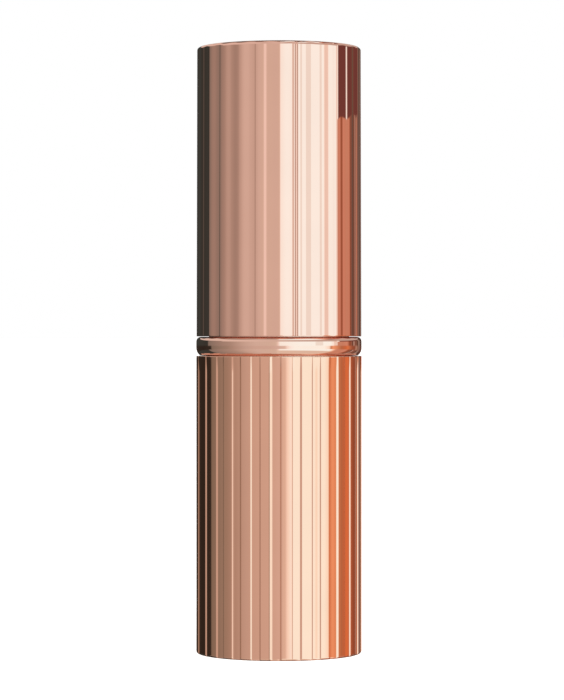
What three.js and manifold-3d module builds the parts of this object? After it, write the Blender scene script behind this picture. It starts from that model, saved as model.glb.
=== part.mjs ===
// A twist-up lipstick case: a fluted cap over a drawn sleeve, a round bead, and a fluted base.
// Turning the sleeve against the base turns a helical cam tube round a slotted tube, and the cup,
// whose two pins reach through the slots into the helix, carries the lipstick straight up.
// Millimetres, +Z up, origin at the centre of the foot. Angle 0 faces -Y and grows towards +X.
import * as THREE from "three";
import { mergeVertices } from "three/addons/utils/BufferGeometryUtils.js";
import Module from "manifold-3d";

const wasm = await Module();
wasm.setup();

// ---------- driving dimensions ----------
const CASE_R = 10.25; // over the raised bands of the base
const CASE_H = 75.0;
const BASE_H = 36.8;
const BEAD_H = 2.3; // the bead between base and cap
const RUNNING_GAP = 0.06; // under the bead, which turns, and under the cap
const FIT = 0.05; // radial gap of a glued or pressed fit

const SHELL_BORE_R = 9.5; // inside the base shell and the cap shell
const LINER_WALL = 0.6;
const SLEEVE_R = 8.68; // drawn metal sleeve, outside
const SLEEVE_WALL = 0.3;
const SLEEVE_BOTTOM = 17.8;
const SLEEVE_TOP = 52.0;
const LIP_R = 6.45; // the rolled lip round the lipstick

const HELIX_BORE_R = 7.5;
const HELIX_R = 8.3;
const HELIX_BOTTOM = 18.4;
const HELIX_TOP = 50.2;
const GROOVE_R = 8.05; // bottom of the helical groove
const GROOVE_HALF = 0.85; // half the groove's width, square to the groove

const TUBE_R = 7.35; // slotted tube
const TUBE_BORE_R = 6.75;
const TUBE_TOP = 51.4;
const FOOT_R = 8.8; // knurled foot of the slotted tube
const FOOT_BOTTOM = 9.0;
const SLOT_W = 1.7;
const BRAKE_Z = [19.7, 46.5]; // heights of the two brake rings

const LIFT = 21.3; // travel of the cup
const LIFT_TURN = 3 * Math.PI; // one and a half turns
const CUP_R = 6.6;
const CUP_BORE_R = 6.1;
const CUP_BOTTOM = 18.9;
const CUP_TOP = 29.7;
const PIN_R = 0.65;
const PIN_REACH = 7.85; // how far the cup's pins reach from the axis
const PIN_Z = 22.0;
const STICK_R = 6.05;
const STICK_TIP = 51.3;
const STICK_SLANT = THREE.MathUtils.degToRad(42);
const STICK_FACING = THREE.MathUtils.degToRad(25);

// Raised and recessed bands round each shell: the angle where a raised band starts, its share of the
// pitch, how deep the recessed one lies, and the width of the slope between them along the surface.
// The base's bands are crisp, and the cap's are soft waves.
const FLUTES = 25;
const BASE_FLUTES = { phase: THREE.MathUtils.degToRad(1.3), raised: 0.56, depth: 0.13, edge: 0.2 };
const CAP_FLUTES = { phase: THREE.MathUtils.degToRad(-2.1), raised: 0.51, depth: 0.12, edge: 1.1 };
const CAP_DRAFT = 0.07; // the cap is this much smaller in radius at its top
const END_ROUND = 0.4;
const FOOT_ROUND = 0.3;
const RIM_CHAMFER = 0.07;

const SIDES = 48; // facets of the plain turned parts
const TURN = 2 * Math.PI;
const BEAD_BOTTOM = BASE_H + RUNNING_GAP;
const BEAD_TOP = BEAD_BOTTOM + BEAD_H;
const CAP_BOTTOM = BEAD_TOP + RUNNING_GAP;

// ---------- shape helpers ----------

// A solid of revolution about Z. Points are [radius, height], anticlockwise, with the solid on the left.
function turned(points, sides = SIDES) {
  const closed = points[0][0] > 0 ? [...points, points[0]] : points;
  const profile = closed.map(([r, z]) => new THREE.Vector2(r, z));
  return new THREE.LatheGeometry(profile, sides).rotateX(Math.PI / 2);
}

// Points on an arc of a profile, from one angle to another in degrees, 0 being outwards and 90 up.
function arc(r, z, radius, from, to, steps = 4) {
  return Array.from({ length: steps + 1 }, (_, i) => {
    const a = THREE.MathUtils.degToRad(from + ((to - from) * i) / steps);
    return [r + radius * Math.cos(a), z + radius * Math.sin(a)];
  });
}

function solidOf(geometry) {
  const bare = geometry.clone();
  bare.deleteAttribute("normal");
  bare.deleteAttribute("uv");
  const merged = mergeVertices(bare, 1e-3);
  const triVerts = new Uint32Array(merged.index.array);
  const vertProperties = merged.attributes.position.array;
  return new wasm.Manifold(new wasm.Mesh({ numProp: 3, vertProperties, triVerts }));
}

function geometryOf(solid) {
  const mesh = solid.getMesh();
  const geometry = new THREE.BufferGeometry();
  geometry.setAttribute("position", new THREE.BufferAttribute(mesh.vertProperties, 3));
  geometry.setIndex(new THREE.BufferAttribute(mesh.triVerts, 1));
  return geometry.toNonIndexed();
}

const joined = (body, parts) => geometryOf(parts.map(solidOf).reduce((a, b) => a.add(b), solidOf(body)));
const cut = (body, parts) => geometryOf(parts.map(solidOf).reduce((a, b) => a.subtract(b), solidOf(body)));
const common = (a, b) => geometryOf(solidOf(a).intersect(solidOf(b)));

// A box centred on a radius at an angle round the axis.
function blockAt(angle, radius, z, [across, outwards, high]) {
  return new THREE.BoxGeometry(across, outwards, high).translate(0, -radius, z).rotateZ(angle);
}

// The corners of the flutes once round, as [angle, depth]: a raised band, a slope, a recessed band, a slope.
function fluteCorners({ phase, raised, depth, edge }) {
  const pitch = TURN / FLUTES;
  const half = edge / CASE_R / 2;
  const fall = raised * pitch;
  return Array.from({ length: FLUTES }, (_, k) => [
    [half, 0],
    [fall - half, 0],
    [fall + half, depth],
    [pitch - half, depth],
  ].map(([angle, sunk]) => [phase + k * pitch + angle, sunk])).flat();
}

// Turns each meridian of a turned shell to a flute corner, and holds its outside within the flutes.
function fluted(points, corners, wallRadius) {
  const geometry = turned(points, corners.length);
  const position = geometry.getAttribute("position");
  for (let i = 0; i < position.count; i++) {
    const [x, y, z] = [position.getX(i), position.getY(i), position.getZ(i)];
    const share = Math.atan2(x, -y) / TURN;
    const meridian = (Math.round(share * corners.length) + corners.length) % corners.length;
    const [angle, depth] = corners[meridian];
    const r = Math.min(Math.hypot(x, y), wallRadius(z) - depth);
    position.setXY(i, r * Math.sin(angle), -r * Math.cos(angle));
  }
  return geometry;
}

// A bar of rectangular section that climbs round the axis: the cutter for a helical groove.
function helixBar(start, inner, outer, half) {
  const rise = LIFT / LIFT_TURN;
  const over = (PIN_R + 0.2) / PIN_REACH; // the groove runs on past the pin at both ends
  const steps = 48;
  const positions = [];
  const index = [];
  for (let i = 0; i <= steps; i++) {
    const turnedBy = -over + ((LIFT_TURN + 2 * over) * i) / steps;
    const z = PIN_Z + rise * turnedBy;
    const [c, s] = [Math.cos(start + turnedBy), Math.sin(start + turnedBy)];
    for (const [r, dz] of [[inner, -half], [outer, -half], [outer, half], [inner, half]]) {
      positions.push(r * c, r * s, z + dz);
    }
  }
  for (let i = 0; i < steps; i++) {
    for (let j = 0; j < 4; j++) {
      const [a, b] = [4 * i + j, 4 * i + ((j + 1) % 4)];
      index.push(a, b + 4, b, a, a + 4, b + 4);
    }
  }
  const last = 4 * steps;
  index.push(0, 1, 2, 0, 2, 3, last, last + 2, last + 1, last, last + 3, last + 2);
  const geometry = new THREE.BufferGeometry();
  geometry.setAttribute("position", new THREE.Float32BufferAttribute(positions, 3));
  geometry.setIndex(index);
  return geometry;
}

// ---------- base ----------

const LABEL_R = 8.4;
const LABEL_RECESS = 0.32;
const BASE_FLOOR = 0.9; // top of the base shell's floor

function baseShell() {
  const outer = [
    [0, LABEL_RECESS],
    [LABEL_R + 0.2, LABEL_RECESS],
    [LABEL_R + 0.2, 0],
    ...arc(CASE_R - FOOT_ROUND, FOOT_ROUND, FOOT_ROUND, -90, 0),
    [CASE_R, BASE_H - RIM_CHAMFER],
    [CASE_R - RIM_CHAMFER, BASE_H],
  ];
  const inner = [[SHELL_BORE_R, BASE_H], [SHELL_BORE_R, BASE_FLOOR], [0, BASE_FLOOR]];
  return fluted([...outer, ...inner], fluteCorners(BASE_FLUTES), () => CASE_R);
}

const LINER_R = SHELL_BORE_R - FIT;
const LINER_BORE_R = LINER_R - LINER_WALL;
const LINER_FLOOR = 1.5;

function baseLiner() {
  const vent = 2.5;
  const bottom = BASE_FLOOR + FIT;
  const top = BASE_H - 0.5;
  return turned([
    [vent, bottom],
    [LINER_R - 0.25, bottom],
    [LINER_R, bottom + 0.25],
    [LINER_R, top],
    [LINER_BORE_R, top],
    [LINER_BORE_R, LINER_FLOOR],
    [vent, LINER_FLOOR],
  ]);
}

const WEIGHT_TOP = 8.7;

function baseWeight() {
  const [hole, r, bottom, chamfer] = [2.0, LINER_BORE_R - 0.1, LINER_FLOOR + FIT, 0.3];
  return turned([
    [hole, bottom],
    [r - chamfer, bottom],
    [r, bottom + chamfer],
    [r, WEIGHT_TOP - chamfer],
    [r - chamfer, WEIGHT_TOP],
    [hole, WEIGHT_TOP],
  ]);
}

function shadeLabel() {
  const [bottom, top] = [0.15, 0.27];
  return turned([[0, bottom], [LABEL_R, bottom], [LABEL_R, top], [0, top]]);
}

const BRAKE_GROOVE = 0.3; // depth
const BRAKE_HALF = 0.35; // half height of its groove

// The inner tube: a knurled foot that is pressed into the liner, a bearing collar, two brake ring grooves,
// two straight slots for the cup's pins, and a snap lip that keeps the helix tube on.
function slottedTube() {
  const skirtBore = 7.3;
  const collar = 7.95;
  const groove = (z) => [
    [TUBE_R, z - BRAKE_HALF],
    [TUBE_R - BRAKE_GROOVE, z - BRAKE_HALF],
    [TUBE_R - BRAKE_GROOVE, z + BRAKE_HALF],
    [TUBE_R, z + BRAKE_HALF],
  ];
  const profile = [
    [2.0, 17.4],
    [skirtBore, 17.4],
    [skirtBore, FOOT_BOTTOM],
    [FOOT_R - 0.2, FOOT_BOTTOM],
    [FOOT_R, FOOT_BOTTOM + 0.2],
    [FOOT_R, 17.2],
    [collar, 17.2],
    [collar, HELIX_BOTTOM - 0.2],
    [TUBE_R, HELIX_BOTTOM - 0.2],
    ...BRAKE_Z.flatMap(groove),
    [TUBE_R, HELIX_TOP + 0.15],
    [7.85, HELIX_TOP + 0.3],
    [7.85, HELIX_TOP + 0.6],
    [7.45, TUBE_TOP],
    [TUBE_BORE_R, TUBE_TOP],
    [TUBE_BORE_R, 18.6],
    [2.0, 18.6],
  ];
  const knurls = Array.from({ length: SIDES }, (_, i) => [(i * TURN) / SIDES, (i % 2) * 0.2]);
  const body = fluted(profile, knurls, () => FOOT_R);
  const slotEnd = PIN_R + 0.4;
  const high = LIFT + 2 * slotEnd;
  const slots = [Math.PI / 2, -Math.PI / 2].map((angle) =>
    blockAt(angle, TUBE_R, PIN_Z + LIFT / 2, [SLOT_W, 2, high]));
  return cut(body, slots);
}

function brakeRing(z) {
  const [section, middle] = [0.19, (TUBE_R - BRAKE_GROOVE + HELIX_BORE_R) / 2];
  return turned(arc(middle, z, section, 0, 300, 5));
}

// ---------- sleeve, which turns ----------

function helixTube() {
  const tube = turned([
    [HELIX_BORE_R, HELIX_BOTTOM],
    [HELIX_R, HELIX_BOTTOM],
    [HELIX_R, HELIX_TOP],
    [HELIX_BORE_R, HELIX_TOP],
  ]);
  const pitchAngle = Math.atan(LIFT / LIFT_TURN / HELIX_BORE_R);
  const half = GROOVE_HALF / Math.cos(pitchAngle);
  const grooves = [0, Math.PI].map((start) => helixBar(start, HELIX_BORE_R - 0.5, GROOVE_R, half));
  return cut(tube, grooves);
}

function innerSleeve() {
  const [round, bore] = [0.6, SLEEVE_R - SLEEVE_WALL];
  const [r, z] = [SLEEVE_R - round, SLEEVE_TOP - round];
  return turned([
    [bore, SLEEVE_BOTTOM],
    [SLEEVE_R, SLEEVE_BOTTOM],
    ...arc(r, z, round, 0, 90),
    [LIP_R + 0.1, SLEEVE_TOP],
    [LIP_R, SLEEVE_TOP - 0.1],
    [LIP_R, SLEEVE_TOP - SLEEVE_WALL],
    ...arc(r, z, round - SLEEVE_WALL, 90, 0, 2),
  ]);
}

// The bead: full and round below, where it ends in an edge, with a smaller round above.
function collarRing() {
  const [inner, lower, upper, edgeAngle] = [SLEEVE_R + 0.07, 1.2, 0.6, 52];
  const rise = lower * Math.sin(THREE.MathUtils.degToRad(edgeAngle));
  return turned([
    [inner, BEAD_BOTTOM],
    ...arc(CASE_R - lower, BEAD_BOTTOM + rise, lower, -edgeAngle, 0),
    ...arc(CASE_R - upper, BEAD_TOP - upper, upper, 0, 90),
    [inner, BEAD_TOP],
  ]);
}

// ---------- carrier, which rises ----------

function carrierCup() {
  const [vent, floor] = [1.5, CUP_BOTTOM + 0.9];
  const body = turned([
    [vent, CUP_BOTTOM],
    [CUP_R - 0.3, CUP_BOTTOM],
    [CUP_R, CUP_BOTTOM + 0.3],
    [CUP_R, CUP_TOP - 0.2],
    [CUP_R - 0.2, CUP_TOP],
    [CUP_BORE_R, CUP_TOP],
    [CUP_BORE_R, floor],
    [vent, floor],
  ]);
  const from = CUP_BORE_R + 0.25;
  const pins = [1, -1].map((side) =>
    new THREE.CylinderGeometry(PIN_R, PIN_R, PIN_REACH - from, 12)
      .rotateZ(Math.PI / 2)
      .translate((side * (from + PIN_REACH)) / 2, 0, PIN_Z));
  return joined(body, pins);
}

// A round stick, cut by a slanted plane that leaves its tip at the back and starts short of the front.
function lipstickBullet() {
  const bottom = CUP_BOTTOM + 0.95;
  const round = turned([[0, bottom], [STICK_R, bottom], [STICK_R, STICK_TIP], [0, STICK_TIP]]);
  const side = 60;
  const below = new THREE.BoxGeometry(side, side, side)
    .translate(0, 0, -side / 2)
    .rotateX(STICK_SLANT)
    .translate(0, STICK_R * 0.5, STICK_TIP)
    .rotateZ(STICK_FACING);
  return common(round, below);
}

// ---------- cap, which pulls off ----------

const CAP_ROOF = CASE_H - 1.0; // underside of the cap shell's top
const CAP_R = CASE_R - 0.04;

function capShell() {
  const topR = CAP_R - CAP_DRAFT;
  const wall = (z) => CAP_R - (CAP_DRAFT * (z - CAP_BOTTOM)) / (CASE_H - CAP_BOTTOM);
  const profile = [
    [0, CAP_ROOF],
    [SHELL_BORE_R, CAP_ROOF],
    [SHELL_BORE_R, CAP_BOTTOM],
    [CAP_R - RIM_CHAMFER, CAP_BOTTOM],
    [CAP_R, CAP_BOTTOM + RIM_CHAMFER],
    ...arc(topR - END_ROUND, CASE_H - END_ROUND, END_ROUND, 0, 90),
    [0, CASE_H],
  ];
  return fluted(profile, fluteCorners(CAP_FLUTES), wall);
}

function capLiner() {
  const [bottom, roof] = [CAP_BOTTOM + 0.5, CAP_ROOF - 0.6];
  const body = turned([
    [0, roof],
    [LINER_BORE_R - 0.4, roof],
    [LINER_BORE_R, roof - 0.4],
    [LINER_BORE_R, bottom + 0.3],
    [LINER_BORE_R + 0.2, bottom],
    [LINER_R, bottom],
    [LINER_R, CAP_ROOF - 0.35],
    [LINER_R - 0.3, CAP_ROOF - FIT],
    [0, CAP_ROOF - FIT],
  ]);
  const [ribs, tip, root, high] = [8, SLEEVE_R + FIT, LINER_BORE_R + 0.2, 6.5];
  const gripRibs = Array.from({ length: ribs }, (_, k) =>
    blockAt(((k + 0.5) * TURN) / ribs, (tip + root) / 2, bottom + 0.8 + high / 2, [0.7, root - tip, high]));
  return joined(body, gripRibs);
}

// ---------- assembly ----------

const material = (color, roughness, metalness) =>
  new THREE.MeshStandardMaterial({ color, roughness, metalness });
const roseGold = material(0xe0a58e, 0.12, 1.0);
const steel = material(0x9a9a9c, 0.35, 1.0);
const whitePlastic = material(0xe9e6e0, 0.5, 0.0);
const ivoryPlastic = material(0xdcd5c6, 0.45, 0.0);
const silicone = material(0x55504c, 0.7, 0.0);
const wax = material(0xb0505a, 0.45, 0.0);
const paper = material(0xf2eeea, 0.8, 0.0);

const parts = {
  base: {
    base_shell: [baseShell(), roseGold],
    base_liner: [baseLiner(), whitePlastic],
    base_weight: [baseWeight(), steel],
    shade_label: [shadeLabel(), paper],
    slotted_tube: [slottedTube(), ivoryPlastic],
    lower_brake_ring: [brakeRing(BRAKE_Z[0]), silicone],
    upper_brake_ring: [brakeRing(BRAKE_Z[1]), silicone],
  },
  sleeve: {
    helix_tube: [helixTube(), ivoryPlastic],
    inner_sleeve: [innerSleeve(), roseGold],
    collar_ring: [collarRing(), roseGold],
  },
  carrier: {
    carrier_cup: [carrierCup(), whitePlastic],
    lipstick_bullet: [lipstickBullet(), wax],
  },
  cap: {
    cap_shell: [capShell(), roseGold],
    cap_liner: [capLiner(), whitePlastic],
  },
};

const lipstickCase = new THREE.Group();
for (const [body, nodes] of Object.entries(parts)) {
  const group = new THREE.Group();
  group.name = body;
  for (const [name, [geometry, look]] of Object.entries(nodes)) {
    const mesh = new THREE.Mesh(geometry, look);
    mesh.name = name;
    group.add(mesh);
  }
  lipstickCase.add(group);
}

export default lipstickCase;
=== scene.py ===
"""Looks of a twist-up lipstick case: rose-gold shells round a plastic mechanism and its lipstick.

Lengths are metres. Angles round the axis start at the front (-Y) and grow towards the right (+X).
"""

import math

import bpy
import numpy as np
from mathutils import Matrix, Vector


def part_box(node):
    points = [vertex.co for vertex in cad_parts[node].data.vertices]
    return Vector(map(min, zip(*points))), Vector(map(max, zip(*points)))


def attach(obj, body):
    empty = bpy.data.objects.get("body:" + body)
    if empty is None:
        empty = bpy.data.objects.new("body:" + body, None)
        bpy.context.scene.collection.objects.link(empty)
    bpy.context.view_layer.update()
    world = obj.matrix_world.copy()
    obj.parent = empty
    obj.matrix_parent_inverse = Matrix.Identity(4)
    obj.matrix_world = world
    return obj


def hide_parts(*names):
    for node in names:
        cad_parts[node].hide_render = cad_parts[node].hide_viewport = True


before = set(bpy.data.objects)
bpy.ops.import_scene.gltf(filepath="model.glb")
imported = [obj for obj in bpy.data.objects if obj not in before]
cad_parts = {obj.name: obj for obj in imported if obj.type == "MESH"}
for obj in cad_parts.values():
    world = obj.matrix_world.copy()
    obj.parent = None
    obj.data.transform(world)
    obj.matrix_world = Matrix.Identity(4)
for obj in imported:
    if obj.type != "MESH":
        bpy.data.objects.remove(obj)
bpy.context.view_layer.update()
MM = 0.001

# ---------- sizes taken from the frame ----------
BASE_LOW, BASE_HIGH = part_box("base_shell")
RING_LOW, RING_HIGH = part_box("collar_ring")
CAP_LOW, CAP_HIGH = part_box("cap_shell")
SLEEVE_LOW, SLEEVE_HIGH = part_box("inner_sleeve")
STICK_LOW, STICK_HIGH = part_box("lipstick_bullet")
LABEL_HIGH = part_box("shade_label")[1]
CAP_LINER_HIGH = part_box("cap_liner")[1]
BASE_LINER_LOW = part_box("base_liner")[0]
CASE_R = RING_HIGH.x
FIT = 0.05 * MM  # gap of a glued or pressed fit

# ---------- the camera ----------
DISTANCE = 375 * MM  # from the case's axis
EYE_HEIGHT = 39.3 * MM
LENS = 155.48
SHIFT_X = 0.0044  # the case stands a little left of the middle
SHIFT_Y = -0.0204

# ---------- fine shape ----------
FLUTES = 25
PITCH = 2 * math.pi / FLUTES
BORE_R = CAP_LINER_HIGH.x + FIT  # inside both shells
BORE_CORNER = 0.2 * MM
CAP_ROOF = CAP_LINER_HIGH.z + FIT
BASE_FLOOR = BASE_LINER_LOW.z - FIT
CAP_INSET = 0.04 * MM  # the cap's radius is this much less than the bead's
CAP_DRAFT = 0.07 * MM  # and this much less again at its top
CAP_ROUND = 0.4 * MM
FOOT_ROUND = 0.3 * MM
RIM_ROUND = 0.07 * MM
RUN_OUT = 2.0 * MM  # length over which the base's flutes get shallower towards its rim
RIM_SHARE = 0.55  # of their depth, at the rim
SUPPORT = 0.05 * MM  # distance of the extra row beside a round, which keeps its shading in it


def smooth_step(x):
    x = np.clip(x, 0, 1)
    return x * x * (3 - 2 * x)


class Flutes:
    """Bands round a shell. A flute is a list of steps (middle, width, change) from its left to its right.

    Middles and widths are shares of the pitch, and a change of 1 sinks the surface by the whole depth.
    Every flute starts and ends in the recessed band. Some flutes have steps of their own. The phase is
    where flute 0 rises, and the crowding is how far the bands at the sides lie nearer the front than an
    even pitch puts them, both in degrees.
    """

    def __init__(self, depth, phase, crowding, start, steps, own_steps):
        self.depth = depth
        self.phase = math.radians(phase)
        self.crowding = math.radians(crowding)
        self.start = start
        self.steps = steps
        self.own_steps = own_steps

    def meridians(self):
        """Angles once round, close together on the steps, and the depth at each."""
        angles, depths = [], []
        for flute in range(FLUTES):
            steps = self.own_steps.get(flute, self.steps)
            places = [np.linspace(self.start, self.start + 1, 12, endpoint=False)]
            places += [np.linspace(middle - width / 2, middle + width / 2, 9) for middle, width, _ in steps]
            share = np.unique(np.round(np.concatenate(places), 3))
            share = share[(share >= self.start) & (share < self.start + 1)]
            sunk = 1 + sum(
                change * smooth_step((share - middle) / width + 0.5) for middle, width, change in steps
            )
            even = self.phase + (flute + share) * PITCH
            angles.append(even - self.crowding * np.sin(even))
            depths.append(self.depth * sunk)
        return np.concatenate(angles), np.concatenate(depths)


# The base has crisp raised bands. A lip is a small rise at a band's right edge. A soft and a crowned band
# fall slowly behind it, and the others differ only in where an edge lies or how steep it is.
BASE_BAND = [(0, 0.058, -1), (0.556, 0.085, 1)]
CRISP_BAND = [(0, 0.058, -1), (0.556, 0.062, 1)]
LIPPED_BAND = [(0, 0.058, -1), (0.45, 0.044, -0.5), (0.533, 0.122, 1.5)]
SOFT_BAND = [(0, 0.058, -1), (0.56, 0.018, -0.2), (0.75, 0.34, 1.2)]
CROWNED_BAND = [(-0.022, 0.105, -1), (0.29, 0.44, 0.95), (0.556, 0.05, -0.65), (0.75, 0.34, 0.7)]
NEAR_BAND = [(-0.013, 0.058, -1), (0.54, 0.1, 1)]
SLOPED_BAND = [(0.02, 0.11, -1), (0.556, 0.085, 1)]
EARLY_BAND = [(-0.04, 0.058, -1), (0.556, 0.085, 1)]
WIDE_BAND = [(0, 0.058, -1), (0.63, 0.085, 1)]
BASE_FLUTES = Flutes(
    depth=0.13 * MM, phase=1.3, crowding=0.7, start=-0.08, steps=BASE_BAND,
    own_steps={
        FLUTES - 5: WIDE_BAND,
        FLUTES - 2: CRISP_BAND,
        FLUTES - 1: LIPPED_BAND,
        0: SOFT_BAND,
        1: CROWNED_BAND,
        2: NEAR_BAND,
        3: SLOPED_BAND,
        5: EARLY_BAND,
    },
)

# The cap's bands are soft waves. Except at the back, every other one has a fine crease where it rises,
# and flute 1 has a double crease there.
CAP_BAND = [(0, 0.42, -1), (0.51, 0.46, 1)]
CREASED_BAND = [(0, 0.42, -0.75), (0, 0.06, -0.25), (0.51, 0.46, 1)]
NARROW_WAVE = [(0, 0.42, -0.75), (0, 0.06, -0.25), (0.45, 0.42, 1)]
DOUBLE_CREASE = [
    (-0.17, 0.14, -0.5), (-0.07, 0.06, -0.85), (-0.02, 0.04, 0.5), (0.03, 0.06, -0.85),
    (0.2, 0.2, 0.7), (0.56, 0.38, 1),
]
CAP_FLUTES = Flutes(
    depth=0.12 * MM, phase=-2.1, crowding=0, start=-0.25, steps=CAP_BAND,
    own_steps={
        **{flute: CREASED_BAND for flute in (3, 5, 7, 9, 16, 18, 20, 22)},
        FLUTES - 1: NARROW_WAVE,
        1: DOUBLE_CREASE,
    },
)


# ---------- mesh helpers ----------

def arc(r, z, radius, start, end, steps=8):
    """Profile points on an arc, angles in degrees, 0 outwards and 90 up."""
    angles = np.radians(np.linspace(start, end, steps + 1))
    return [(r + radius * math.cos(a), z + radius * math.sin(a)) for a in angles]


def revolve(profile, angles, depths=None):
    """Turns profile points (radius, height, flute share) round the axis, the solid being on their left."""
    sines, cosines = np.sin(angles), -np.cos(angles)
    depths = np.zeros(len(angles)) if depths is None else depths
    vertices, rings = [], []
    for point in profile:
        radius, height = point[0], point[1]
        share = point[2] if len(point) > 2 else 0.0
        first = len(vertices)
        if radius < 1e-9:
            vertices.append((0.0, 0.0, height))
            rings.append([first] * len(angles))
            continue
        around = radius - share * depths
        vertices += [(a * s, a * c, height) for a, s, c in zip(around, sines, cosines)]
        rings.append(list(range(first, first + len(angles))))
    if profile[0][0] > 1e-9:
        rings.append(rings[0])
    faces = []
    for low, high in zip(rings, rings[1:]):
        for i in range(len(angles)):
            j = (i + 1) % len(angles)
            quad = [low[i], low[j], high[j], high[i]]
            corners = [v for k, v in enumerate(quad) if v != quad[k - 1]]
            if len(corners) > 2:
                faces.append(corners)
    return vertices, faces


def eased(corners, soft, steps=3):
    """Profile in metres from corners in millimetres, each corner off the axis rounded over a length."""
    points = []
    for k, corner in enumerate(corners):
        before, here, after = (np.array(corners[(k + d) % len(corners)], float) for d in (-1, 0, 1))
        if here[0] == 0:
            points.append(here)
            continue
        back, ahead = before - here, after - here
        reach = min(soft, 0.45 * np.linalg.norm(back), 0.45 * np.linalg.norm(ahead))
        start = here + back / np.linalg.norm(back) * reach
        end = here + ahead / np.linalg.norm(ahead) * reach
        for s in np.linspace(0, 1, steps + 1):
            points.append((1 - s) ** 2 * start + 2 * s * (1 - s) * here + s * s * end)
    return [(r * MM, z * MM) for r, z in points]


def prism(outline, across, up, start, end):
    """A closed outline in the plane of two directions, drawn out square to them from start to end."""
    across, up = np.array(across, float), np.array(up, float)
    along = np.cross(across, up)
    vertices = [tuple(a * across + b * up + t * along) for t in (start, end) for a, b in outline]
    count = len(outline)
    faces = [list(range(count))[::-1], list(range(count, 2 * count))]
    faces += [[i, (i + 1) % count, count + (i + 1) % count, count + i] for i in range(count)]
    return vertices, faces


def combined(shape, others, operation):
    """One closed shape from several, by an exact boolean."""
    vertices, faces = [], []
    for more_vertices, more_faces in others:
        first = len(vertices)
        vertices += more_vertices
        faces += [[first + v for v in face] for face in more_faces]
    made = []
    for part in (shape, (vertices, faces)):
        mesh = bpy.data.meshes.new("in_work")
        mesh.from_pydata(part[0], [], part[1])
        made.append(bpy.data.objects.new("in_work", mesh))
        bpy.context.scene.collection.objects.link(made[-1])
    modifier = made[0].modifiers.new("combined", "BOOLEAN")
    modifier.solver = "EXACT"
    modifier.operation = operation
    modifier.object = made[1]
    result = made[0].evaluated_get(bpy.context.evaluated_depsgraph_get()).to_mesh()
    shape = [tuple(v.co) for v in result.vertices], [list(p.vertices) for p in result.polygons]
    for work in made:
        bpy.data.meshes.remove(work.data)
    return shape


def piece(name, shape, body, material, slot, *nodes, sharp=40):
    """A finished mesh that stands for CAD nodes and moves with a body."""
    vertices, faces = shape
    mesh = bpy.data.meshes.new(name)
    mesh.from_pydata(vertices, [], faces)
    mesh.polygons.foreach_set("use_smooth", [True] * len(mesh.polygons))
    mesh.set_sharp_from_angle(angle=math.radians(sharp))
    mesh.materials.append(material)
    made = bpy.data.objects.new(name, mesh)
    bpy.context.scene.collection.objects.link(made)
    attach(made, body)
    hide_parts(*nodes)


ROUND = np.linspace(0, 2 * math.pi, 192, endpoint=False)  # the meridians of a plain turned piece


# ---------- material helpers ----------

class Look:
    """A procedural material under construction, with object coordinates in millimetres."""

    def __init__(self, name):
        self.material = bpy.data.materials.new(name)
        self.material.use_nodes = True
        self.nodes = self.material.node_tree.nodes
        self.shader = self.nodes["Principled BSDF"]
        self.place = self.nodes.new("ShaderNodeTexCoord").outputs["Object"]

    def link(self, output, target):
        self.material.node_tree.links.new(output, target)

    def noise(self, scale, detail=2.0, stretch=(1, 1, 1), seed=0.0):
        """Noise with about scale cells per millimetre, stretched per axis."""
        mapping = self.nodes.new("ShaderNodeMapping")
        mapping.inputs["Scale"].default_value = [scale * 1000 * s for s in stretch]
        mapping.inputs["Location"].default_value = (seed, 2 * seed, 3 * seed)
        self.link(self.place, mapping.inputs["Vector"])
        texture = self.nodes.new("ShaderNodeTexNoise")
        texture.inputs["Scale"].default_value = 1.0
        texture.inputs["Detail"].default_value = detail
        self.link(mapping.outputs["Vector"], texture.inputs["Vector"])
        return texture.outputs["Fac"]

    def spread(self, value, low, high):
        """A noise value stretched from its usual middle range to low..high."""
        node = self.nodes.new("ShaderNodeMapRange")
        node.inputs["From Min"].default_value = 0.3
        node.inputs["From Max"].default_value = 0.7
        node.inputs["To Min"].default_value = low
        node.inputs["To Max"].default_value = high
        self.link(value, node.inputs["Value"])
        return node.outputs["Result"]

    def blend(self, value, first, second):
        node = self.nodes.new("ShaderNodeMix")
        node.data_type = "RGBA"
        node.inputs["A"].default_value = (*first, 1)
        node.inputs["B"].default_value = (*second, 1)
        self.link(value, node.inputs["Factor"])
        return node.outputs["Result"]

    def bump(self, value, depth):
        node = self.nodes.new("ShaderNodeBump")
        node.inputs["Strength"].default_value = 1.0
        node.inputs["Distance"].default_value = depth
        self.link(value, node.inputs["Height"])
        self.link(node.outputs["Normal"], self.shader.inputs["Normal"])

    def set(self, **values):
        for name, value in values.items():
            self.shader.inputs[name.replace("_", " ")].default_value = value


# ---------- materials ----------

def polished_metal(name, color, roughness, seed):
    """Plated and lacquered metal: fine streaks along the axis in its gloss, and slight tone changes."""
    look = Look(name)
    look.set(Metallic=1.0)
    darker = [c * 0.97 for c in color]
    tone = look.spread(look.noise(0.12, 3, seed=seed), 0, 1)
    look.link(look.blend(tone, color, darker), look.shader.inputs["Base Color"])
    streaks = look.noise(6.0, 3, stretch=(1, 1, 0.02), seed=seed)
    look.link(look.spread(streaks, 0.7 * roughness, 1.3 * roughness), look.shader.inputs["Roughness"])
    look.bump(look.noise(1.2, 2, seed=seed), 0.06e-6)
    return look.material


def turned_metal(name, color, roughness):
    """Drawn and turned sleeve: faint rings round the axis."""
    look = Look(name)
    look.set(Metallic=1.0)
    rings = look.noise(9.0, 3, stretch=(0.01, 0.01, 1))
    look.link(look.blend(rings, color, [c * 0.94 for c in color]), look.shader.inputs["Base Color"])
    look.link(look.spread(rings, 0.8 * roughness, 1.25 * roughness), look.shader.inputs["Roughness"])
    look.bump(rings, 0.4e-6)
    return look.material


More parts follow.
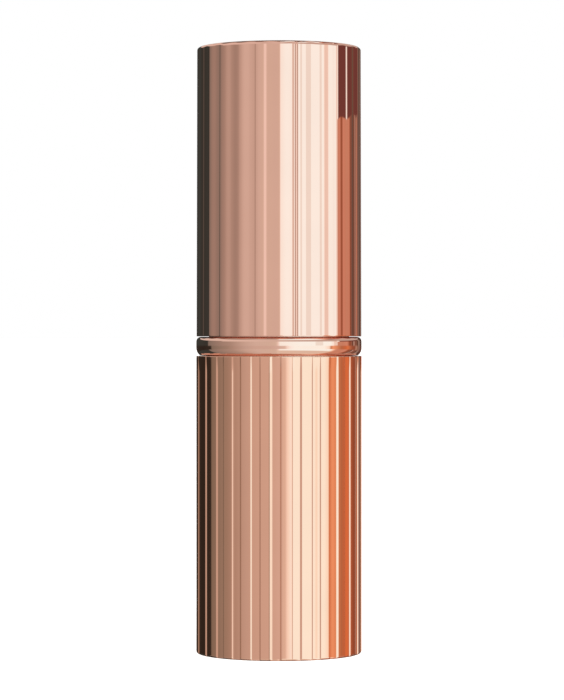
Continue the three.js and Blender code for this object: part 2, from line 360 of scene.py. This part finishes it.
def steel(name):
    look = Look(name)
    look.set(Metallic=1.0)
    grain = look.noise(3.0, 5)
    look.link(look.blend(grain, (0.46, 0.46, 0.47), (0.34, 0.34, 0.35)), look.shader.inputs["Base Color"])
    look.link(look.spread(grain, 0.28, 0.45), look.shader.inputs["Roughness"])
    look.bump(look.noise(8.0, 3, stretch=(0.1, 0.1, 1)), 2e-6)
    return look.material


def plastic(name, light, dark, roughness, grain_depth):
    """Moulded plastic: faint flow marks in its colour, and a fine moulded grain."""
    look = Look(name)
    look.set(Specular_IOR_Level=0.5, Subsurface_Weight=0.08, Subsurface_Scale=0.8 * MM)
    flow = look.noise(0.25, 3, stretch=(1, 1, 0.4))
    look.link(look.blend(look.spread(flow, 0, 1), light, dark), look.shader.inputs["Base Color"])
    grain = look.noise(7.0, 3)
    look.link(look.spread(grain, 0.85 * roughness, 1.15 * roughness), look.shader.inputs["Roughness"])
    look.bump(grain, grain_depth)
    return look.material


def wax(name):
    """Lipstick: an even creamy rose with soft marbling, a slight sheen, and fine pores."""
    look = Look(name)
    look.set(
        Subsurface_Weight=0.25, Subsurface_Scale=0.9 * MM, Subsurface_Radius=(1.0, 0.25, 0.2),
        Specular_IOR_Level=0.45, Coat_Weight=0.12, Coat_Roughness=0.25,
    )
    marbling = look.spread(look.noise(0.3, 4, stretch=(1, 1, 0.35)), 0, 1)
    tone = look.blend(marbling, (0.43, 0.085, 0.095), (0.37, 0.066, 0.08))
    look.link(tone, look.shader.inputs["Base Color"])
    pores = look.noise(5.0, 4)
    look.link(look.spread(pores, 0.33, 0.46), look.shader.inputs["Roughness"])
    look.bump(pores, 4e-6)
    return look.material


def paper(name):
    look = Look(name)
    fibres = look.noise(4.0, 6, stretch=(1, 0.3, 1))
    look.link(look.blend(fibres, (0.86, 0.83, 0.80), (0.78, 0.74, 0.71)), look.shader.inputs["Base Color"])
    look.link(look.spread(fibres, 0.7, 0.85), look.shader.inputs["Roughness"])
    look.bump(fibres, 6e-6)
    return look.material


BASE_METAL = polished_metal("rose_gold_base", (0.95, 0.585, 0.454), 0.015, 1.0)
CAP_METAL = polished_metal("rose_gold_cap", (0.95, 0.608, 0.515), 0.012, 2.0)
RING_METAL = polished_metal("rose_gold_ring", (0.95, 0.645, 0.55), 0.03, 3.0)
SLEEVE_METAL = turned_metal("rose_gold_sleeve", (0.95, 0.64, 0.54), 0.13)
STEEL = steel("weight_steel")
WHITE = plastic("white_plastic", (0.83, 0.81, 0.77), (0.80, 0.775, 0.73), 0.28, 1e-6)
IVORY = plastic("mechanism_plastic", (0.72, 0.68, 0.58), (0.68, 0.64, 0.54), 0.42, 2e-6)
SILICONE = plastic("brake_silicone", (0.10, 0.09, 0.085), (0.08, 0.072, 0.068), 0.6, 3e-6)
WAX = wax("lipstick_wax")
PAPER = paper("label_paper")


# ---------- the fluted shells ----------

def fading(radius, start, end, low_share, high_share, steps=8):
    """Wall points from one height to another, with the flutes getting shallower between them."""
    shares = [low_share + (high_share - low_share) * smooth_step(i / steps) for i in range(steps + 1)]
    heights = np.linspace(start, end, steps + 1)
    return [(radius, z, float(s)) for z, s in zip(heights, shares)]


def rounded_end(edge, middle, radius, start, end, steps):
    """Wall points on a round end, from one angle to another, with the flutes dying away round it."""
    angles = np.radians(np.linspace(start, end, steps + 1))
    return [(edge + radius * math.cos(a), middle + radius * math.sin(a), math.cos(a) ** 2) for a in angles]


def cap_shell():
    bottom, top = CAP_LOW.z, CAP_HIGH.z
    widest = CASE_R - CAP_INSET

    def wall(z):
        return widest - CAP_DRAFT * (z - bottom) / (top - bottom)

    rim = bottom + RIM_ROUND
    shoulder = top - CAP_ROUND
    edge = wall(shoulder) - CAP_ROUND
    outer = [(r, z, 1) for r, z in arc(widest - RIM_ROUND, rim, RIM_ROUND, -90, 0, 6)]
    outer += [(wall(rim + SUPPORT), rim + SUPPORT, 1), (wall(shoulder - SUPPORT), shoulder - SUPPORT, 1)]
    outer += rounded_end(edge, shoulder, CAP_ROUND, 0, 90, 10)
    outer += [(edge - SUPPORT, top), (0.5 * edge, top), (0, top)]
    inner = [
        (0, CAP_ROOF), (BORE_R - BORE_CORNER, CAP_ROOF),
        (BORE_R, CAP_ROOF - BORE_CORNER), (BORE_R, bottom),
    ]
    shape = revolve(inner + outer, *CAP_FLUTES.meridians())
    piece("cap_shell_fluted", shape, "cap", CAP_METAL, "case_metal", "cap_shell")


def base_shell():
    bottom, top = BASE_LOW.z, BASE_HIGH.z
    recess_r = LABEL_HIGH.x + 0.2 * MM
    recess = LABEL_HIGH.z + FIT
    corner, mouth = 0.1 * MM, 0.08 * MM
    rim = top - RIM_ROUND
    foot = bottom + FOOT_ROUND
    edge = CASE_R - FOOT_ROUND
    outer = [(0, recess), (recess_r - corner, recess), (recess_r, recess - corner)]
    outer += [(recess_r, bottom + mouth), (recess_r + mouth, bottom), (edge - SUPPORT, bottom)]
    outer += rounded_end(edge, foot, FOOT_ROUND, -90, 0, 12)
    outer += [(CASE_R, foot + SUPPORT, 1), (CASE_R, rim - RUN_OUT - SUPPORT, 1)]
    outer += fading(CASE_R, rim - RUN_OUT, rim - 2 * SUPPORT, 1, RIM_SHARE)
    outer += [(CASE_R, rim - SUPPORT, RIM_SHARE)]
    outer += [(r, z, RIM_SHARE) for r, z in arc(CASE_R - RIM_ROUND, rim, RIM_ROUND, 0, 90, 6)]
    inner = [
        (BORE_R, top), (BORE_R, BASE_FLOOR + BORE_CORNER),
        (BORE_R - BORE_CORNER, BASE_FLOOR), (0, BASE_FLOOR),
    ]
    shape = revolve(outer + inner, *BASE_FLUTES.meridians())
    piece("base_shell_fluted", shape, "base", BASE_METAL, "case_metal", "base_shell")


def collar_ring():
    """The bead: full and round below, where it ends in an edge, with a smaller round above."""
    low, high = RING_LOW.z, RING_HIGH.z
    inside = SLEEVE_HIGH.x + 0.07 * MM
    lower, upper = 1.2 * MM, 0.6 * MM
    edge_angle = 52
    rise = lower * math.sin(math.radians(edge_angle))
    profile = [
        (inside, low),
        *arc(CASE_R - lower, low + rise, lower, -edge_angle, 0, 16),
        *arc(CASE_R - upper, high - upper, upper, 0, 90, 16),
        (inside, high),
    ]
    shape = revolve(profile, np.linspace(0, 2 * math.pi, 288, endpoint=False))
    piece("collar_ring_bead", shape, "sleeve", RING_METAL, "case_metal", "collar_ring")


# ---------- sleeve and lipstick ----------

def inner_sleeve():
    """A drawn tube with a rolled lip round the lipstick."""
    wall, round_r = 0.3 * MM, 0.6 * MM
    r, bottom, top = SLEEVE_HIGH.x, SLEEVE_LOW.z, SLEEVE_HIGH.z
    lip = STICK_HIGH.x + 0.4 * MM
    profile = [
        (r - wall, bottom),
        (r, bottom),
        (r, top - round_r - SUPPORT),
        *arc(r - round_r, top - round_r, round_r, 0, 90, 12),
        (r - round_r - SUPPORT, top),
        *arc(lip + wall / 2, top - wall / 2, wall / 2, 90, 270, 8),
        (r - round_r - SUPPORT, top - wall),
        *arc(r - round_r, top - round_r, round_r - wall, 90, 0, 8),
    ]
    shape = revolve(profile, ROUND)
    piece("inner_sleeve_drawn", shape, "sleeve", SLEEVE_METAL, "sleeve_metal", "inner_sleeve")


def lipstick():
    """A domed stick cut by a slanted plane, which leaves a drop-shaped face with a soft edge."""
    r, bottom, tip = STICK_HIGH.x, STICK_LOW.z, STICK_HIGH.z
    slope = math.tan(math.radians(42))
    facing = math.radians(25)
    dome = 5.2 * MM
    shoulder = tip - dome + 0.25 * MM  # the plane takes the dome's top off
    soft = 0.3 * MM  # width of the soft edge between dome and face
    count = 160
    around = np.linspace(0, 2 * math.pi, count, endpoint=False)
    sines, cosines = np.sin(around), -np.cos(around)
    back = -(sines * math.sin(facing) - cosines * math.cos(facing))

    def top_height(radius):
        cut = tip - 0.1 * MM + (radius * back - 0.5 * r) * slope
        domed = shoulder + dome * math.sqrt(max(0.0, 1 - (radius / r) ** 2))
        gap = np.clip(0.5 + 0.5 * (domed - cut) / soft, 0, 1)
        return domed * (1 - gap) + cut * gap - soft * gap * (1 - gap)

    side_top = top_height(r)
    rows = [(r, bottom + (side_top - bottom) * t) for t in (0, 0.3, 0.6, 0.85, 0.97, 1)]
    rows += [(r * math.sin(a), top_height(r * math.sin(a))) for a in np.radians(np.linspace(87, 3, 40))]
    vertices, faces = [(0, 0, bottom)], []
    for radius, heights in rows:
        heights = np.broadcast_to(heights, count)
        vertices += [(radius * s, radius * c, z) for s, c, z in zip(sines, cosines, heights)]
    vertices.append((0, 0, float(top_height(0.0)[0])))
    last = len(vertices) - 1
    for i in range(count):
        j = (i + 1) % count
        faces.append((0, 1 + j, 1 + i))
        for row in range(len(rows) - 1):
            low, high = 1 + row * count, 1 + (row + 1) * count
            faces.append((low + i, low + j, high + j, high + i))
        top = 1 + (len(rows) - 1) * count
        faces.append((top + i, top + j, last))
    shape = vertices, faces
    piece("lipstick_stick", shape, "carrier", WAX, "lipstick_wax", "lipstick_bullet", sharp=60)


# ---------- what is inside ----------

def sizes(node):
    """Outer radius, bottom and top of a node, in millimetres."""
    low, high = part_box(node)
    return high.x / MM, low.z / MM, high.z / MM


# These are millimetres.
LINER_R = CAP_LINER_HIGH.x / MM  # outside both liners
LINER_BORE = LINER_R - 0.6
TUBE_R = 7.35  # slotted tube
TUBE_BORE = 6.75
HELIX_BORE = 7.5
BRAKE_GROOVE = 0.3  # depth of a brake ring's groove in the slotted tube
LIFT = 21.3  # travel of the cup
LIFT_TURN = 3 * math.pi  # over one and a half turns
PIN_R = 0.65
PIN_REACH = 7.85  # of the cup's pins, from the axis
PIN_Z = 22.0


def base_liner():
    _, bottom, top = sizes("base_liner")
    vent, floor = 2.5, bottom + 0.55
    profile = eased([
        (vent, bottom), (LINER_R - 0.25, bottom), (LINER_R, bottom + 0.25), (LINER_R, top),
        (LINER_BORE, top), (LINER_BORE, floor), (vent, floor),
    ], 0.15)
    piece("base_liner_cup", revolve(profile, ROUND), "base", WHITE, "white_plastic", "base_liner")


def base_weight():
    r, bottom, top = sizes("base_weight")
    hole, chamfer = 2.0, 0.3
    profile = eased([
        (hole, bottom), (r - chamfer, bottom), (r, bottom + chamfer),
        (r, top - chamfer), (r - chamfer, top), (hole, top),
    ], 0.1)
    piece("base_weight_slug", revolve(profile, ROUND), "base", STEEL, "weight_steel", "base_weight")


def shade_label():
    r, bottom, top = sizes("shade_label")
    profile = eased([(0, bottom), (r, bottom), (r, top), (0, top)], 0.03)
    piece("shade_label_disc", revolve(profile, ROUND), "base", PAPER, "label_paper", "shade_label")


def slotted_tube():
    """A knurled foot, a bearing collar, two brake ring grooves, two straight slots and a snap lip."""
    foot_r, bottom, top = sizes("slotted_tube")
    helix_bottom, helix_top = sizes("helix_tube")[1:]
    hole, skirt_bore, skirt_top, floor = 2.0, 7.3, 17.4, 18.6
    collar, collar_top, lip, lip_end = 7.95, helix_bottom - 0.2, 7.85, 7.45
    brakes = [(sizes(node)[1] + sizes(node)[2]) / 2 for node in ("lower_brake_ring", "upper_brake_ring")]
    groove_r, groove_half = TUBE_R - BRAKE_GROOVE, 0.35
    foot = eased([
        (hole, skirt_top), (skirt_bore, skirt_top), (skirt_bore, bottom), (foot_r - 0.2, bottom),
        (foot_r, bottom + 0.2), (foot_r, skirt_top - 0.2), (collar, skirt_top - 0.2),
        (collar, collar_top), (TUBE_R, collar_top),
        *[
            (r, z + side * groove_half)
            for z in brakes for r, side in ((TUBE_R, -1), (groove_r, -1), (groove_r, 1), (TUBE_R, 1))
        ],
        (TUBE_R, helix_top + 0.15), (lip, helix_top + 0.3), (lip, helix_top + 0.6), (lip_end, top),
        (TUBE_BORE, top), (TUBE_BORE, floor), (hole, floor),
    ], 0.08)
    knurled = [(r, z, 1.0 if r > (foot_r - 0.25) * MM else 0.0) for r, z in foot]
    teeth = 24
    depths = 0.1 * MM * (1 - np.cos(teeth * ROUND))
    slot_half, end = 0.85, PIN_R + 0.4
    slot_bottom, slot_top = PIN_Z - end, PIN_Z + LIFT + end
    outline = eased([
        (slot_half, slot_bottom), (slot_half, slot_top), (-slot_half, slot_top), (-slot_half, slot_bottom),
    ], 0.4)
    inside, outside = (TUBE_BORE - 0.5) * MM, (TUBE_R + 0.5) * MM
    slots = [prism(outline, (0, side, 0), (0, 0, 1), inside, outside) for side in (1, -1)]
    shape = combined(revolve(knurled, ROUND, depths), slots, "DIFFERENCE")
    piece("slotted_tube_moulded", shape, "base", IVORY, "mechanism_plastic", "slotted_tube", sharp=30)


def brake_ring(node):
    _, bottom, top = sizes(node)
    cord_r, middle = 0.19, (TUBE_R - BRAKE_GROOVE + HELIX_BORE) / 2
    profile = arc(middle * MM, (bottom + top) / 2 * MM, cord_r * MM, 0, 360, 16)[:-1]
    piece(f"{node}_round", revolve(profile, ROUND), "base", SILICONE, "brake_silicone", node)


def helix_tube():
    """The cam tube: two helical grooves in its bore, half a turn apart."""
    r, bottom, top = sizes("helix_tube")
    body = revolve(eased([(HELIX_BORE, bottom), (r, bottom), (r, top), (HELIX_BORE, top)], 0.15), ROUND)
    rise = LIFT / LIFT_TURN
    over = (PIN_R + 0.2) / PIN_REACH  # the grooves run on past the pins
    half = 0.85 / math.cos(math.atan(rise / HELIX_BORE))
    inside, groove_r = HELIX_BORE - 0.5, 8.05
    section = [(inside, -half), (groove_r, -half), (groove_r, half), (inside, half)]
    turns = np.linspace(-over, LIFT_TURN + over, 145)
    grooves = []
    for start in (0, math.pi):
        vertices = [
            (r * math.cos(start + a) * MM, r * math.sin(start + a) * MM, (PIN_Z + rise * a + dz) * MM)
            for a in turns for r, dz in section
        ]
        last = len(vertices) - 4
        faces = [[0, 1, 2, 3], [last + 3, last + 2, last + 1, last]]
        faces += [
            [row + k, row + 4 + k, row + 4 + (k + 1) % 4, row + (k + 1) % 4]
            for row in range(0, last, 4) for k in range(4)
        ]
        grooves.append((vertices, faces))
    shape = combined(body, grooves, "DIFFERENCE")
    piece("helix_tube_moulded", shape, "sleeve", IVORY, "mechanism_plastic", "helix_tube", sharp=30)


def carrier_cup():
    """The cup under the lipstick, with two pins that reach through the slots into the helix."""
    _, bottom, top = sizes("carrier_cup")
    r, bore, vent, floor = 6.6, 6.1, 1.5, bottom + 0.9
    body = revolve(eased([
        (vent, bottom), (r - 0.3, bottom), (r, bottom + 0.3), (r, top - 0.2), (r - 0.2, top),
        (bore, top), (bore, floor), (vent, floor),
    ], 0.12), ROUND)
    pin = eased([(0, bore + 0.25), (PIN_R, bore + 0.25), (PIN_R, PIN_REACH), (0, PIN_REACH)], 0.2)
    vertices, faces = revolve(pin, ROUND[::4])
    pins = [([(side * z, side * x, y + PIN_Z * MM) for x, y, z in vertices], faces) for side in (1, -1)]
    shape = combined(body, pins, "UNION")
    piece("carrier_cup_moulded", shape, "carrier", WHITE, "white_plastic", "carrier_cup", sharp=30)


def cap_liner():
    """The liner glued in the cap. Eight ribs with lead-ins grip the sleeve."""
    r, bottom, top = sizes("cap_liner")
    roof = top - 0.55
    body = revolve(eased([
        (0, roof), (LINER_BORE - 0.4, roof), (LINER_BORE, roof - 0.4), (LINER_BORE, bottom + 0.3),
        (LINER_BORE + 0.2, bottom), (r, bottom), (r, top - 0.3), (r - 0.3, top), (0, top),
    ], 0.1), ROUND)
    tip, root = (SLEEVE_HIGH.x + FIT) / MM, LINER_BORE + 0.2
    low, high = bottom + 0.8, bottom + 7.3
    eased_tip, lead_in = tip + 0.12, 0.6
    outline = [
        (tip, low + lead_in), (eased_tip, low), (root, low),
        (root, high), (eased_tip, high), (tip, high - lead_in),
    ]
    ribs, half = 8, 0.35 * MM
    outwards = [(math.sin(a), -math.cos(a), 0) for a in (np.arange(ribs) + 0.5) * 2 * math.pi / ribs]
    grips = [prism([(a * MM, z * MM) for a, z in outline], out, (0, 0, 1), -half, half) for out in outwards]
    shape = combined(body, grips, "UNION")
    piece("cap_liner_moulded", shape, "cap", WHITE, "white_plastic", "cap_liner", sharp=30)


# ---------- stage ----------

# What stands round the case: degrees from the front, and the light from there. From the camera, the cards
# below eye level show in the base, and those above it in the cap.
LOWER_CARDS = [
    (-156, (0.035, 0.028, 0.022)),
    (-130, (0.03, 0.025, 0.02)),
    (-109.5, (0.04, 0.034, 0.027)),
    (-107.5, (0.235, 0.21, 0.17)),
    (-89, (0.317, 0.277, 0.23)),
    (-77, (0.37, 0.31, 0.257)),
    (-62, (0.486, 0.40, 0.343)),
    (-47, (0.58, 0.50, 0.45)),
    (-32, (0.65, 0.548, 0.486)),
    (-10, (0.67, 0.57, 0.51)),
    (0, (0.71, 0.61, 0.56)),
    (9, (0.79, 0.71, 0.63)),
    (10.6, (0.97, 0.95, 0.92)),
    (13, (1.02, 1.09, 1.03)),
    (16, (1.04, 1.21, 1.24)),
    (22, (1.05, 1.32, 1.33)),
    (66, (1.05, 1.30, 1.29)),
    (74.5, (1.03, 1.02, 0.90)),
    (77, (0.6, 0.28, 0.14)),
    (81, (0.93, 0.47, 0.26)),
    (88, (0.75, 0.36, 0.19)),
    (97, (0.50, 0.21, 0.105)),
    (106, (0.62, 0.19, 0.075)),
    (112, (0.76, 0.25, 0.095)),
    (118, (0.5, 0.19, 0.1)),
    (125, (0.34, 0.11, 0.055)),
    (132, (0.28, 0.10, 0.055)),
    (137, (0.5, 0.31, 0.24)),
    (142, (0.3, 0.17, 0.11)),
    (150, (0.3, 0.2, 0.17)),
    (157, (0.14, 0.06, 0.04)),
]
UPPER_CARDS = [
    (-156, (0.045, 0.053, 0.048)),
    (-117.5, (0.042, 0.05, 0.045)),
    (-115.5, (0.24, 0.225, 0.20)),
    (-92, (0.355, 0.30, 0.26)),
    (-70, (0.44, 0.37, 0.32)),
    (-50, (0.60, 0.52, 0.46)),
    (-32, (0.685, 0.61, 0.55)),
    (-8, (0.70, 0.63, 0.55)),
    (-3.5, (0.72, 0.66, 0.58)),
    (-1, (0.94, 0.87, 0.82)),
    (1.5, (1.03, 1.24, 1.24)),
    (30, (1.04, 1.35, 1.39)),
    (78, (1.03, 1.34, 1.37)),
    (82, (1.03, 1.0, 0.85)),
    (84.5, (1.0, 0.7, 0.55)),
    (87, (0.75, 0.45, 0.33)),
    (90, (0.62, 0.34, 0.24)),
    (100, (0.62, 0.31, 0.21)),
    (110, (0.68, 0.34, 0.24)),
    (117, (0.28, 0.08, 0.03)),
    (122, (0.33, 0.16, 0.11)),
    (125.5, (0.08, 0.025, 0.015)),
    (129, (0.62, 0.46, 0.38)),
    (132, (0.24, 0.11, 0.08)),
    (139, (0.24, 0.12, 0.08)),
    (143, (0.08, 0.035, 0.02)),
    (149, (0.42, 0.33, 0.28)),
    (153, (0.2, 0.13, 0.1)),
    (158, (0.08, 0.05, 0.04)),
]


# Patches on the upper cards: from one angle to another, from one height to another, and the light.
CARD_PATCHES = [
    (52, 64, 0.0, 0.12, (0.92, 1.08, 1.06)),
    (79, 83, -0.0004, 0.12, (1.03, 1.2, 1.2)),
    (83, 89.5, -0.0004, 0.12, (0.90, 0.88, 0.81)),
    (89, 94, 0.0746, 0.35, (1.0, 1.2, 1.2)),
    (94, 137, 0.0746, 0.75, (0.17, 0.062, 0.055)),
]


def studio_world():
    """Plain cards round the case, seen only in its reflections: the camera sees white."""
    world = bpy.data.worlds.new("studio")
    world.use_nodes = True
    bpy.context.scene.world = world
    nodes, links = world.node_tree.nodes, world.node_tree.links
    background = nodes["Background"]

    def math_node(operation, first, second=None):
        node = nodes.new("ShaderNodeMath")
        node.operation = operation
        for socket, value in zip(node.inputs, (first, second)):
            if isinstance(value, (int, float)):
                socket.default_value = value
            elif value is not None:
                links.new(value, socket)
        return node.outputs[0]

    def within(value, start, end):
        node = nodes.new("ShaderNodeMapRange")
        node.interpolation_type = "SMOOTHSTEP"
        node.inputs["From Min"].default_value = start
        node.inputs["From Max"].default_value = end
        links.new(value, node.inputs["Value"])
        return node.outputs["Result"]

    def mix(factor, first, second, blend="MIX"):
        node = nodes.new("ShaderNodeMix")
        node.data_type = "RGBA"
        node.blend_type = blend
        for socket, value in ((node.inputs["A"], first), (node.inputs["B"], second)):
            if isinstance(value, tuple):
                socket.default_value = (*value, 1)
            else:
                links.new(value, socket)
        if factor is None:
            node.inputs["Factor"].default_value = 1.0
        else:
            links.new(factor, node.inputs["Factor"])
        return node.outputs["Result"]

    direction = nodes.new("ShaderNodeTexCoord").outputs["Generated"]
    parts = nodes.new("ShaderNodeSeparateXYZ")
    links.new(direction, parts.inputs[0])
    x, y, z = parts.outputs
    azimuth = math_node("ARCTAN2", x, math_node("MULTIPLY", y, -1.0))
    turn = math_node("MULTIPLY", azimuth, 180 / math.pi)
    share = math_node("ADD", math_node("DIVIDE", turn, 360.0), 0.5)

    def round_about(cards):
        ramp = nodes.new("ShaderNodeValToRGB")
        links.new(share, ramp.inputs["Fac"])
        elements = ramp.color_ramp.elements
        elements.remove(elements[-1])
        for k, (degrees, color) in enumerate(cards):
            place = degrees / 360 + 0.5
            element = elements[0] if k == 0 else elements.new(place)
            element.position = place
            element.color = (*color, 1)
        return ramp.outputs["Color"]

    # The heights are shares of a sphere's radius, from -1 below to 1 above. The lower cards reach from the
    # horizon down to -0.2.
    low_cards = math_node("MULTIPLY", within(z, 0.002, -0.0095), within(z, -0.2, -0.15))
    level = mix(low_cards, round_about(UPPER_CARDS), round_about(LOWER_CARDS))
    for left, right, low, top, color in CARD_PATCHES:
        across = math_node("MULTIPLY", within(turn, left - 1, left + 1), within(turn, right + 1, right - 1))
        up = math_node("MULTIPLY", within(z, low - 0.0002, low + 0.0002), within(z, top + 0.02, top - 0.02))
        level = mix(math_node("MULTIPLY", across, up), level, color)

    # A soft overhead card shows in the flat top. It comes lower at the front than at the back.
    overhead = mix(within(x, -1.0, 1.0), (0.78, 0.70, 0.64), (0.58, 0.50, 0.45))
    front_edge = math_node("MULTIPLY", within(z, 0.115, 0.14), within(y, 0.0, -0.1))
    lower_edge = math_node("MAXIMUM", front_edge, within(z, 0.24, 0.27))
    level = mix(math_node("MULTIPLY", lower_edge, within(z, 0.72, 0.62)), level, overhead)

    # Straight up it is dark, and the floor below dims what is bright.
    level = mix(within(z, 0.88, 0.93), level, (0.20, 0.15, 0.13))
    floor_light = mix(None, level, (0.78, 0.72, 0.62), "DARKEN")
    level = mix(within(z, -0.40, -0.52), level, floor_light)
    camera_sees = nodes.new("ShaderNodeLightPath").outputs["Is Camera Ray"]
    links.new(mix(camera_sees, level, (1.0, 1.0, 1.0)), background.inputs["Color"])


def floor():
    half, height = 30.0, -0.02 * MM
    corners = [(-half, -half, height), (half, -half, height), (half, half, height), (-half, half, height)]
    mesh = bpy.data.meshes.new("floor")
    mesh.from_pydata(corners, [], [(0, 1, 2, 3)])
    look = Look("pale_floor")
    look.set(Roughness=0.9, Specular_IOR_Level=0.1, Emission_Color=(1, 1, 1, 1), Emission_Strength=0.95)
    dapple = look.noise(0.02, 2)
    look.link(look.blend(dapple, (0.80, 0.80, 0.80), (0.78, 0.78, 0.78)), look.shader.inputs["Base Color"])
    mesh.materials.append(look.material)
    made = bpy.data.objects.new("floor", mesh)
    bpy.context.scene.collection.objects.link(made)
    made.visible_glossy = False


def soft_light():
    light = bpy.data.lights.new("soft_light", "AREA")
    light.energy = 1.2
    light.size = 0.35
    made = bpy.data.objects.new("soft_light", light)
    made.location = (0.25, -0.35, 0.40)
    made.rotation_euler = (math.radians(45), 0, math.radians(35))
    made.visible_glossy = False
    bpy.context.scene.collection.objects.link(made)


def camera():
    data = bpy.data.cameras.new("camera")
    data.lens = LENS
    data.shift_x = SHIFT_X
    data.shift_y = SHIFT_Y
    made = bpy.data.objects.new("camera", data)
    made.location = (0, -DISTANCE, EYE_HEIGHT)
    made.rotation_euler = (math.pi / 2, 0, 0)
    bpy.context.scene.collection.objects.link(made)
    bpy.context.scene.camera = made


# ---------- everything in place ----------

camera()
studio_world()
floor()
soft_light()
bpy.context.scene.view_settings.view_transform = "Standard"

cap_shell()
base_shell()
collar_ring()
inner_sleeve()
lipstick()
base_liner()
base_weight()
shade_label()
slotted_tube()
brake_ring("lower_brake_ring")
brake_ring("upper_brake_ring")
helix_tube()
carrier_cup()
cap_liner()
